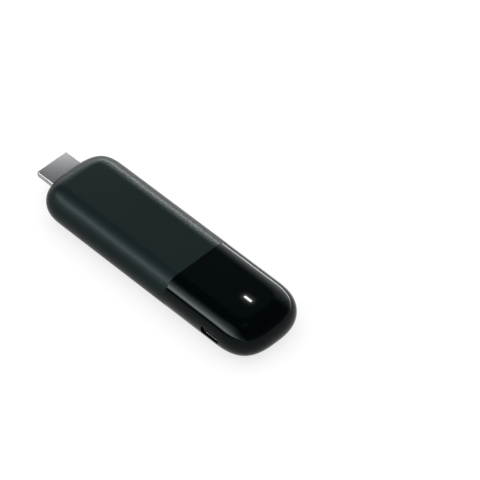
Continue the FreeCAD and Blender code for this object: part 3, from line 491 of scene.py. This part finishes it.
def housing_part(name, outline, way, rings, softness=0):
    """One half of the housing: skin, inside and the rings that join them at its open end.

    way is 1 for the half behind the seam and -1 for the one before it. Each ring is (x, depth).
    """
    surface = Surface()
    outside_end, inside_end = SEAM + way * SEAM_ROUND, rings[-1][0]
    outside = [(outside_end, -HALF_WIDTH, 0, -1), *outline, (outside_end, HALF_WIDTH, 0, 1)]
    inside = [(inside_end, -HALF_WIDTH, 0, -1), *outline, (inside_end, HALF_WIDTH, 0, 1)]
    housing_grid(surface, outside, 0, 1, softness)
    housing_grid(surface, inside, WALL, -1)
    swept = []
    for angle in angles(0, 90, SEAM_STEP):
        x = SEAM + way * SEAM_ROUND * (1 - math.sin(angle))
        depth = SEAM_ROUND * (1 - math.cos(angle))
        swept.append(housing_ring(x, depth, -way * math.sin(angle), math.cos(angle)))
    last_x, last_depth = SEAM, SEAM_ROUND
    for x, depth in rings:
        run, rise = x - last_x, depth - last_depth
        size = math.hypot(run, rise)
        points, normals, _ = housing_ring(x, depth, -way * rise / size, way * run / size)
        swept[-1] = (*swept[-1][:2], normals)
        swept.append((points, normals, normals))
        last_x, last_depth = x, depth
    surface.sweep(swept)
    return surface.build(name)


def plug_section():
    """The plug's outer section, across Y and up Z, with its wide face up."""
    top, low = plug_high[2], plug_low[2]
    step = top - PLUG_SIDE
    wide = plug_high[1]
    right = [(PLUG_FLAT / 2, low), (wide - PLUG_SHOULDER, step), (wide, step), (wide, top)]
    left = [(-y, z) for y, z in reversed(right)]
    radii = [PLUG_CORNER, PLUG_INNER_CORNER, PLUG_CORNER, PLUG_CORNER]
    return rounded_outline(right + left, radii + radii[::-1])


def make_sleeve():
    """The matte front half of the housing, with the opening for the plug."""
    outline = end_outline(FRONT + FRONT_REACH, FRONT_REACH, FRONT_POWER, -1)
    sleeve = housing_part("sleeve_skin", outline, -1, [(SEAM, WALL)], SLEEVE_SOFTNESS)
    opening = [(y + ny * PLUG_GAP, z + nz * PLUG_GAP, ny, nz) for y, z, ny, nz in plug_section()]
    cut(sleeve, hole_cutter("opening", sleeve, opening, lambda y, z: (FRONT - CUTTER_START, y, z),
                            (1, 0, 0), WALL + OPENING_PAST, OPENING_ROUND))
    settle_normals(sleeve)
    return sleeve


def make_end_cap():
    """The glossy rest of the housing, with its lip, the power port and the slot for the light."""
    outline = end_outline(TIP - TIP_REACH, TIP_REACH, TIP_POWER, 1)
    outside = WALL + LIP_GAP
    inside = outside + LIP_THICKNESS
    rings = [(SEAM, outside), (LIP_FRONT + LIP_BEVEL, outside), (LIP_FRONT, outside + LIP_BEVEL),
             (LIP_FRONT, inside), (SEAM + LIP_ROOT, inside), (SEAM + LIP_ROOT, WALL)]
    cap = housing_part("end_cap_skin", outline, 1, rings)
    port = rectangle(PORT_X, PORT_Z, PORT_WIDTH, PORT_HEIGHT, PORT_CORNER)
    cut(cap, hole_cutter("port", cap, port, lambda x, z: (x, -HALF_WIDTH - CUTTER_START, z),
                         (0, 1, 0), WALL + PORT_PAST, PORT_ROUND))
    slot = rectangle(LIGHT_X, 0, SLOT_LENGTH, SLOT_WIDTH, SLOT_WIDTH / 2)
    cut(cap, hole_cutter("slot", cap, slot, lambda x, y: (x, y, HEIGHT + CUTTER_START),
                         (0, 0, -1), WALL + SLOT_PAST, SLOT_ROUND))
    settle_normals(cap)
    return cap


def plug_ring(outline, x, depth, before, after):
    """The plug's section at x, drawn in by depth, with its normals (along, outward) before and after it."""
    points = [(x, y - ny * depth, z - nz * depth) for y, z, ny, nz in outline]
    normals = [[(along, ny * outward, nz * outward) for _, _, ny, nz in outline]
               for along, outward in (before, after)]
    return (points, *normals)


def seam_cutter(name):
    """A thin prism along the seam of the plug's folded sheet, with its dovetail."""
    tip, tail, low = plug_low[0], plug_high[0], plug_low[2]
    start = tip + DOVETAIL_FRONT
    end = start + DOVETAIL_LENGTH
    path = [(tip - CUTTER_PAST, 0), (start + DOVETAIL_LEAN, 0), (start, DOVETAIL_REACH),
            (end, DOVETAIL_REACH), (end - DOVETAIL_LEAN, 0), (tail + CUTTER_PAST, 0)]
    outline = band(path, SEAM_WIDTH)
    normals = [NO_NORMAL] * len(outline)
    rings = [([(x, y, z) for x, y in outline], normals, normals)
             for z in (low - CUTTER_PAST, low + SEAM_DEPTH)]
    surface = Surface()
    rows = surface.sweep(rings)
    surface.flat(rows[0], NO_NORMAL)
    surface.flat(rows[-1], NO_NORMAL)
    return surface.build(name)


def make_plug_shell():
    """The plug's folded steel sheet, with its lead-in, latch windows and seam."""
    outline = plug_section()
    tip, tail, low = plug_low[0], plug_high[0], plug_low[2]
    inward, back, outward = (0, -1), (1, 0), (0, 1)
    rings = [plug_ring(outline, tail, PLUG_SHEET, inward, back), plug_ring(outline, tail, 0.0, back, outward)]
    for angle in angles(0, 90, CORNER_STEP):
        x = tip + PLUG_LEAD_RUN * (1 - math.sin(angle))
        facing = (-math.sin(angle), math.cos(angle))
        rings.append(plug_ring(outline, x, PLUG_LEAD * (1 - math.cos(angle)), facing, facing))
    for angle in angles(90, 0, LIP_STEP):
        x = tip + PLUG_LIP * (1 - math.sin(angle))
        facing = (-math.sin(angle), -math.cos(angle))
        rings.append(plug_ring(outline, x, PLUG_SHEET - PLUG_LIP * (1 - math.cos(angle)), facing, facing))
    rings.append(rings[0])
    surface = Surface()
    surface.sweep(rings)
    shell = surface.build("plug_shell_sheet")
    for side in (-1, 1):
        window = rectangle(tip + LATCH_BACK, side * LATCH_SPREAD, LATCH_SIZE, LATCH_SIZE, LATCH_CORNER)
        cut(shell, hole_cutter("window", shell, window, lambda x, y: (x, y, low - CUTTER_START),
                               (0, 0, 1), PLUG_SHEET + LATCH_PAST, PLUG_LIP))
    cut(shell, seam_cutter("seam"))
    settle_normals(shell)
    return shell


def light_ring(length, width, corner, z, before, after):
    """The light guide's section at a height, with its normals (flat, up) before and after it."""
    outline = rectangle(LIGHT_X, 0, length, width, corner)
    points = [(x, y, z) for x, y, _, _ in outline]
    normals = [[(nx * flat, ny * flat, up) for _, _, nx, ny in outline] for flat, up in (before, after)]
    return (points, *normals)


def make_light():
    """The light guide: a head that fills the slot, a flange under the wall and a column down to the lamp."""
    head_length, head_width = SLOT_LENGTH - 2 * SLOT_FIT, SLOT_WIDTH - 2 * SLOT_FIT
    flange_length, flange_width, _ = guide_high - guide_low
    flange_top = HEIGHT - WALL
    flange_under = flange_top - FLANGE_HEIGHT
    side, top, under = (1, 0), (0, 1), (0, -1)
    rings = []
    for angle in angles(90, 0, CORNER_STEP):
        inset = HEAD_ROUND * (1 - math.cos(angle))
        z = HEIGHT - HEAD_ROUND * (1 - math.sin(angle))
        width = head_width - 2 * inset
        facing = (math.cos(angle), math.sin(angle))
        rings.append(light_ring(head_length - 2 * inset, width, width / 2, z, facing, facing))
    rings.append(light_ring(head_length, head_width, head_width / 2, flange_top, side, top))
    rings.append(light_ring(flange_length, flange_width, flange_width / 2, flange_top, top, side))
    rings.append(light_ring(flange_length, flange_width, flange_width / 2, flange_under, side, under))
    rings.append(light_ring(COLUMN_LENGTH, COLUMN_WIDTH, COLUMN_CORNER, flange_under, under, side))
    rings.append(light_ring(FOOT_LENGTH, FOOT_WIDTH, COLUMN_CORNER, guide_low[2], side, under))
    surface = Surface()
    rows = surface.sweep(rings)
    surface.flat(rows[0], (0, 0, 1))
    surface.flat(rows[-1], (0, 0, -1))
    lens = surface.build("light_lens")
    settle_normals(lens)
    return lens


def round_edges(node, width):
    """Small rounds on the sharp edges of a piece that comes as it is."""
    weld = node.modifiers.new("weld", "WELD")
    weld.merge_threshold = MERGE_DISTANCE
    rounding = node.modifiers.new("rounding", "BEVEL")
    rounding.width = width * MM
    rounding.segments = EDGE_SEGMENTS
    rounding.limit_method = "ANGLE"
    rounding.harden_normals = True


class Nodes:
    """Short ways to add and join shader nodes."""

    def __init__(self, tree):
        self.tree = tree

    def add(self, kind, **settings):
        """A new node with its settings."""
        made = self.tree.nodes.new("ShaderNode" + kind)
        for name, value in settings.items():
            setattr(made, name, value)
        return made

    def join(self, source, target):
        """A link from an output to an input."""
        self.tree.links.new(source, target)

    def maths(self, operation, *values, clamp=False):
        """A Math node over sockets and numbers, and its result."""
        made = self.add("Math", operation=operation, use_clamp=clamp)
        for slot, value in enumerate(values):
            if isinstance(value, (int, float)):
                made.inputs[slot].default_value = value
            else:
                self.join(value, made.inputs[slot])
        return made.outputs[0]

    def ramp(self, value, stops):
        """A curve through (value, result) stops."""
        first, last = stops[0][0], stops[-1][0]
        made = self.add("ValToRGB")
        scaled = self.maths("DIVIDE", self.maths("SUBTRACT", value, first), last - first)
        self.join(scaled, made.inputs[0])
        made.color_ramp.interpolation = "EASE"
        elements = made.color_ramp.elements
        for place, _ in stops[1:-1]:
            elements.new((place - first) / (last - first))
        for element, (_, result) in zip(elements, stops):
            element.color = (result, result, result, 1)
        return made.outputs[0]


def start_material(name, colour, roughness, metallic=0.0, ior=1.5):
    """A new material, the helper for its nodes, and its shader."""
    made = bpy.data.materials.new(name)
    made.use_nodes = True
    shader = made.node_tree.nodes["Principled BSDF"]
    shader.inputs["Base Color"].default_value = (*colour, 1)
    shader.inputs["Roughness"].default_value = roughness
    shader.inputs["Metallic"].default_value = metallic
    shader.inputs["IOR"].default_value = ior
    return made, Nodes(made.node_tree), shader


def noise(nodes, size, stretch=(1, 1, 1), detail=2.0, texture="TexNoise"):
    """Noise in the object's own frame, its grain this many millimetres across, drawn out along an axis."""
    scale = nodes.add("VectorMath", operation="MULTIPLY")
    scale.inputs[1].default_value = [1 / (size * MM * s) for s in stretch]
    nodes.join(nodes.add("TexCoord").outputs["Object"], scale.inputs[0])
    made = nodes.add(texture)
    made.inputs["Scale"].default_value = 1.0
    if texture == "TexNoise":
        made.inputs["Detail"].default_value = detail
    nodes.join(scale.outputs[0], made.inputs["Vector"])
    return made.outputs[0]


def shade(nodes, shader, value, dark, light):
    """The base colour, from dark to light with a value from 0 to 1."""
    mix = nodes.add("Mix", data_type="RGBA")
    mix.inputs["A"].default_value = (*dark, 1)
    mix.inputs["B"].default_value = (*light, 1)
    nodes.join(value, mix.inputs["Factor"])
    nodes.join(mix.outputs["Result"], shader.inputs["Base Color"])


def mottle(nodes, shader, value, colour, amount):
    """The base colour, a little darker and lighter with the noise."""
    shade(nodes, shader, value, [c * (1 - amount) for c in colour], [c * (1 + amount) for c in colour])


def roughen(nodes, shader, value, low, high):
    """The roughness, from low to high with the noise."""
    made = nodes.add("MapRange")
    nodes.join(value, made.inputs["Value"])
    made.inputs["From Min"].default_value = NOISE_LOW
    made.inputs["From Max"].default_value = NOISE_HIGH
    made.inputs["To Min"].default_value = low
    made.inputs["To Max"].default_value = high
    nodes.join(made.outputs[0], shader.inputs["Roughness"])


def bump(nodes, shader, value, depth):
    """Relief from the noise, this many millimetres deep."""
    made = nodes.add("Bump")
    made.inputs["Distance"].default_value = depth * MM
    nodes.join(value, made.inputs["Height"])
    nodes.join(made.outputs[0], shader.inputs["Normal"])


def sleeve_plastic():
    """Charcoal plastic with a fine even spark texture."""
    colour = (0.0085, 0.0148, 0.0158)
    made, nodes, shader = start_material("sleeve_plastic", colour, 0.31, ior=1.157)
    shader.inputs["Specular Tint"].default_value = (*TINT, 1)
    grain = noise(nodes, size=0.16, detail=3.0)
    mottle(nodes, shader, grain, colour, amount=0.25)
    roughen(nodes, shader, noise(nodes, size=1.5), low=0.29, high=0.32)
    bump(nodes, shader, grain, depth=0.005)
    return made


def light_distance(nodes):
    """How far a point lies, seen from above, from the middle line of the light's slot, and its height."""
    split = nodes.add("SeparateXYZ")
    nodes.join(nodes.add("TexCoord").outputs["Object"], split.inputs[0])
    x, y, z = split.outputs
    straight = (SLOT_LENGTH - SLOT_WIDTH) / 2 * MM
    off_middle = nodes.maths("ABSOLUTE", nodes.maths("SUBTRACT", x, LIGHT_X * MM))
    along = nodes.maths("MAXIMUM", nodes.maths("SUBTRACT", off_middle, straight), 0.0)
    squares = nodes.maths("ADD", nodes.maths("MULTIPLY", along, along), nodes.maths("MULTIPLY", y, y))
    return nodes.maths("SQRT", squares), z


def cap_plastic():
    """Polished black plastic, with a painted glow round the slot that stands in for light spilling into it.
    """
    colour = (0.0006, 0.0017, 0.0021)
    made, nodes, shader = start_material("cap_plastic", colour, 0.06, ior=1.195)
    shader.inputs["Specular Tint"].default_value = (*TINT, 1)
    mottle(nodes, shader, noise(nodes, size=3.0), colour, amount=0.1)
    roughen(nodes, shader, noise(nodes, size=4.0), low=0.05, high=0.075)
    bump(nodes, shader, noise(nodes, size=1.2), depth=0.0003)
    # Painted glow: the cap's upper wall emits light, fading away from the edge of the slot.
    aside, z = light_distance(nodes)
    away = nodes.maths("DIVIDE", nodes.maths("SUBTRACT", aside, SLOT_WIDTH / 2 * MM), PAINTED_GLOW_REACH * MM)
    painted_glow_falloff = nodes.maths("EXPONENT", nodes.maths("MULTIPLY", away, -1.0))
    upper = nodes.maths("GREATER_THAN", z, (HEIGHT - WALL / 2) * MM)
    glow = nodes.maths("MULTIPLY", nodes.maths("MULTIPLY", painted_glow_falloff, upper), PAINTED_GLOW_STRENGTH)
    shader.inputs["Emission Color"].default_value = WHITE
    nodes.join(glow, shader.inputs["Emission Strength"])
    return made


def light_plastic():
    """Milky clear plastic, lit from below."""
    colour = (0.2, 0.205, 0.21)
    made, nodes, shader = start_material("light_plastic", colour, 0.25)
    mottle(nodes, shader, noise(nodes, size=0.8), colour, amount=0.04)
    aside, _ = light_distance(nodes)
    shader.inputs["Emission Color"].default_value = WHITE
    nodes.join(nodes.ramp(nodes.maths("DIVIDE", aside, MM), CORE_GLOW), shader.inputs["Emission Strength"])
    return made


def sheet_metal(name, colour, roughness, along=(1, 1, 1), grain=0.12, depth=0.0008):
    """Plated or rolled sheet: fine lines along one axis and soft patches of polish."""
    made, nodes, shader = start_material(name, colour, roughness, metallic=1.0)
    lines = noise(nodes, grain, along, detail=4.0)
    mottle(nodes, shader, noise(nodes, size=2.0), colour, amount=0.05)
    roughen(nodes, shader, lines, roughness * (1 - METAL_SPREAD), roughness * (1 + METAL_SPREAD))
    bump(nodes, shader, lines, depth)
    return made


def moulded(name, colour, roughness, grain=0.15, depth=0.002, amount=0.1, detail=2.0, texture="TexNoise"):
    """Moulded, sintered or cast stuff: one grain for its relief and its small changes of colour."""
    made, nodes, shader = start_material(name, colour, roughness, ior=1.45)
    value = noise(nodes, grain, detail=detail, texture=texture)
    mottle(nodes, shader, value, colour, amount)
    patches = noise(nodes, size=grain * MOULD_PATCH)
    roughen(nodes, shader, patches, roughness * (1 - MOULD_SPREAD), roughness * (1 + MOULD_SPREAD))
    bump(nodes, shader, value, depth)
    return made


def board_mask():
    """Green solder mask over copper: lighter where tracks and pours lie under it."""
    dark, light = (0.006, 0.045, 0.022), (0.02, 0.11, 0.05)
    made, nodes, shader = start_material("board", dark, 0.32)
    cells = noise(nodes, size=1.3, stretch=(1, 1, 4), texture="TexVoronoi")
    track = nodes.ramp(cells, [(0.0, 1.0), (0.42, 1.0), (0.5, 0.0), (1.0, 0.0)])
    shade(nodes, shader, track, dark, light)
    bump(nodes, shader, track, depth=0.02)
    return made


def make_materials():
    """A material for each of the record's slots."""
    lengthwise = (12, 1, 1)
    across = (1, 12, 1)
    return {
        "sleeve_plastic": sleeve_plastic(),
        "cap_plastic": cap_plastic(),
        "light_plastic": light_plastic(),
        "plug_steel": sheet_metal("plug_steel", (0.28, 0.284, 0.29), 0.16, lengthwise),
        "insulator": moulded("insulator", (0.006, 0.006, 0.0065), 0.45),
        "contact": sheet_metal("contact", (0.80, 0.56, 0.22), 0.22, lengthwise, grain=0.05),
        "board": board_mask(),
        "chassis_plastic": moulded("chassis_plastic", (0.01, 0.01, 0.0105), 0.5, grain=0.2, depth=0.004),
        "can_steel": sheet_metal("can_steel", (0.64, 0.64, 0.62), 0.34, across, grain=0.1),
        "spreader_metal": sheet_metal("spreader_metal", (0.72, 0.73, 0.74), 0.42, grain=0.25, depth=0.004),
        "pad_rubber": moulded("pad_rubber", (0.18, 0.28, 0.42), 0.7, grain=0.3, depth=0.006, amount=0.15),
        "foam": moulded("foam", (0.02, 0.02, 0.02), 0.9, grain=0.3, depth=0.05, amount=0.4,
                        texture="TexVoronoi"),
        "chip_resin": moulded("chip_resin", (0.012, 0.012, 0.013), 0.55, grain=0.08, depth=0.003, amount=0.2,
                              detail=4.0),
        "coil_ferrite": moulded("coil_ferrite", (0.03, 0.03, 0.032), 0.6, grain=0.1, depth=0.004, amount=0.3),
        "ceramic": moulded("ceramic", (0.42, 0.30, 0.17), 0.35, grain=0.2, depth=0.001),
        "screw_steel": sheet_metal("screw_steel", (0.42, 0.42, 0.44), 0.38, grain=0.06),
        "socket_steel": sheet_metal("socket_steel", (0.16, 0.16, 0.165), 0.34, across, grain=0.08),
    }


def dress(piece, slot):
    """Gives a new piece its finish and its body."""
    piece.data.materials.clear()
    piece.data.materials.append(materials[slot])
    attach(piece, "root")


def floor_material():
    """A floor that camera, glossy and transmitted rays see near white, and that is clear from below."""
    made = bpy.data.materials.new("floor")
    made.use_nodes = True
    made.node_tree.nodes.clear()
    nodes = Nodes(made.node_tree)
    rays = nodes.add("LightPath").outputs
    seen = nodes.maths("ADD", nodes.maths("ADD", rays["Is Camera Ray"], rays["Is Glossy Ray"]),
                       rays["Is Transmission Ray"], clamp=True)
    glow = nodes.add("Emission")
    nodes.join(nodes.maths("MULTIPLY", seen, FLOOR_GLOW), glow.inputs["Strength"])
    matt = nodes.add("BsdfDiffuse")
    matt.inputs["Color"].default_value = (FLOOR_COLOUR, FLOOR_COLOUR, FLOOR_COLOUR, 1)
    both = nodes.add("AddShader")
    nodes.join(glow.outputs[0], both.inputs[0])
    nodes.join(matt.outputs[0], both.inputs[1])
    mix = nodes.add("MixShader")
    nodes.join(nodes.add("NewGeometry").outputs["Backfacing"], mix.inputs[0])
    nodes.join(both.outputs[0], mix.inputs[1])
    nodes.join(nodes.add("BsdfTransparent").outputs[0], mix.inputs[2])
    nodes.join(mix.outputs[0], nodes.add("OutputMaterial").inputs[0])
    return made


def make_floor():
    """A wide flat floor just under the object."""
    mesh = bpy.data.meshes.new("floor")
    reach, z = FLOOR_REACH * MM, -FLOOR_DROP * MM
    corners = [(-reach, -reach, z), (reach, -reach, z), (reach, reach, z), (-reach, reach, z)]
    mesh.from_pydata(corners, [], [(0, 1, 2, 3)])
    mesh.materials.append(floor_material())
    made = bpy.data.objects.new("floor", mesh)
    bpy.context.scene.collection.objects.link(made)


def make_camera():
    """The photograph's camera, found from the outlines of the object in it."""
    azimuth, elevation, roll = (math.radians(d) for d in (CAMERA_AZIMUTH, CAMERA_ELEVATION, CAMERA_ROLL))
    back = Vector((math.sin(azimuth) * math.cos(elevation), -math.cos(azimuth) * math.cos(elevation),
                   math.sin(elevation)))
    level = Vector((math.cos(azimuth), math.sin(azimuth), 0))
    upright = back.cross(level)
    right = level * math.cos(roll) + upright * math.sin(roll)
    up = upright * math.cos(roll) - level * math.sin(roll)
    place = Vector((FRONT, 0, MIDDLE)) + right * CAMERA_ASIDE - up * CAMERA_BELOW + back * CAMERA_AWAY
    data = bpy.data.cameras.new("camera")
    data.sensor_width = CAMERA_SENSOR
    data.lens = CAMERA_LENS
    data.clip_start = CAMERA_NEAREST * MM
    data.clip_end = CAMERA_FURTHEST * MM
    camera = bpy.data.objects.new("camera", data)
    bpy.context.scene.collection.objects.link(camera)
    turn = Matrix((right, up, back)).transposed()
    camera.matrix_world = Matrix.Translation(place * MM) @ turn.to_4x4()
    bpy.context.scene.camera = camera


def from_degrees(change, stops):
    """Stops at angles in degrees, as stops at their tangent or sine."""
    return [(change(math.radians(angle)), value) for angle, value in stops]


def soft_box(nodes, way, facing, strength, heights, sides):
    """A flat soft box far away, square to an azimuth, with its falloff upward and sideways."""
    cosine, sine = math.cos(math.radians(facing)), math.sin(math.radians(facing))
    x, y, z = way
    depth = nodes.maths("ADD", nodes.maths("MULTIPLY", x, cosine), nodes.maths("MULTIPLY", y, sine))
    aside = nodes.maths("SUBTRACT", nodes.maths("MULTIPLY", y, cosine), nodes.maths("MULTIPLY", x, sine))
    front = nodes.maths("MAXIMUM", depth, LEAST_DEPTH)
    height = nodes.ramp(nodes.maths("DIVIDE", z, front), from_degrees(math.tan, heights))
    side = nodes.ramp(nodes.maths("DIVIDE", aside, front), from_degrees(math.tan, sides))
    seen = nodes.maths("GREATER_THAN", depth, LEAST_DEPTH)
    share = nodes.maths("MULTIPLY", nodes.maths("MULTIPLY", height, side), seen)
    return nodes.maths("MULTIPLY", share, strength)


def make_world():
    """Two soft boxes and a faint sky, which surfaces mirror but take no matt light from."""
    world = bpy.data.worlds.new("studio")
    bpy.context.scene.world = world
    world.use_nodes = True
    world.cycles_visibility.diffuse = False
    nodes = Nodes(world.node_tree)
    split = nodes.add("SeparateXYZ")
    nodes.join(nodes.add("TexCoord").outputs["Generated"], split.inputs[0])
    way = split.outputs
    near = soft_box(nodes, way, NEAR_FACING, NEAR_STRENGTH, NEAR_HEIGHTS, NEAR_SIDES)
    far = soft_box(nodes, way, FAR_FACING, FAR_STRENGTH, FAR_HEIGHTS, FAR_SIDES)
    sky = nodes.ramp(nodes.maths("ABSOLUTE", way[2]), from_degrees(math.sin, SKY))
    total = nodes.maths("ADD", nodes.maths("ADD", near, far), sky)
    background = world.node_tree.nodes["Background"]
    background.inputs["Color"].default_value = WHITE
    nodes.join(total, background.inputs["Strength"])


def top_light():
    """A wide soft light from straight above, for the matt share of every surface."""
    data = bpy.data.lights.new("top_light", "SUN")
    data.energy = TOP_LIGHT_STRENGTH
    data.angle = math.radians(TOP_LIGHT_SPREAD)
    made = bpy.data.objects.new("top_light", data)
    made.visible_glossy = False
    bpy.context.scene.collection.objects.link(made)


def front_lamp():
    """A small soft lamp before the plug, which its wide face mirrors, fading towards its upper end."""
    data = bpy.data.lights.new("front_lamp", "AREA")
    data.shape = "RECTANGLE"
    data.size, data.size_y = (side * MM for side in FRONT_LAMP_SIZE)
    data.energy = FRONT_LAMP_STRENGTH * data.size * data.size_y * math.pi
    data.use_nodes = True
    nodes = Nodes(data.node_tree)
    split = nodes.add("SeparateXYZ")
    nodes.join(nodes.add("NewGeometry").outputs["Parametric"], split.inputs[0])
    fade = nodes.ramp(split.outputs[1], FRONT_LAMP_FADE)
    nodes.join(fade, data.node_tree.nodes["Emission"].inputs["Strength"])
    made = bpy.data.objects.new("front_lamp", data)
    made.visible_camera = False
    bpy.context.scene.collection.objects.link(made)
    way = (Vector(FRONT_LAMP_PLACE) - Vector(FRONT_LAMP_AIM)).normalized()
    made.location = Vector(FRONT_LAMP_PLACE) * MM
    made.rotation_euler = way.to_track_quat("Z", "Y").to_euler()


materials = make_materials()
for subpart in frame["record"]["subparts"]:
    node = frame["nodes"][subpart["node"]]
    node.data.materials.clear()
    node.data.materials.append(materials[subpart["material_slot"]])
for name, width in EDGE_ROUNDS.items():
    round_edges(frame["nodes"][name], width)

sleeve = make_sleeve()
dress(sleeve, "sleeve_plastic")
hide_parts("sleeve")

end_cap = make_end_cap()
dress(end_cap, "cap_plastic")
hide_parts("end_cap")

plug = make_plug_shell()
dress(plug, "plug_steel")
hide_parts("plug_shell")

lens = make_light()
dress(lens, "light_plastic")
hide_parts("light_guide")

make_floor()
make_camera()
make_world()
top_light()
front_lamp()
bpy.context.scene.view_settings.view_transform = "Standard"
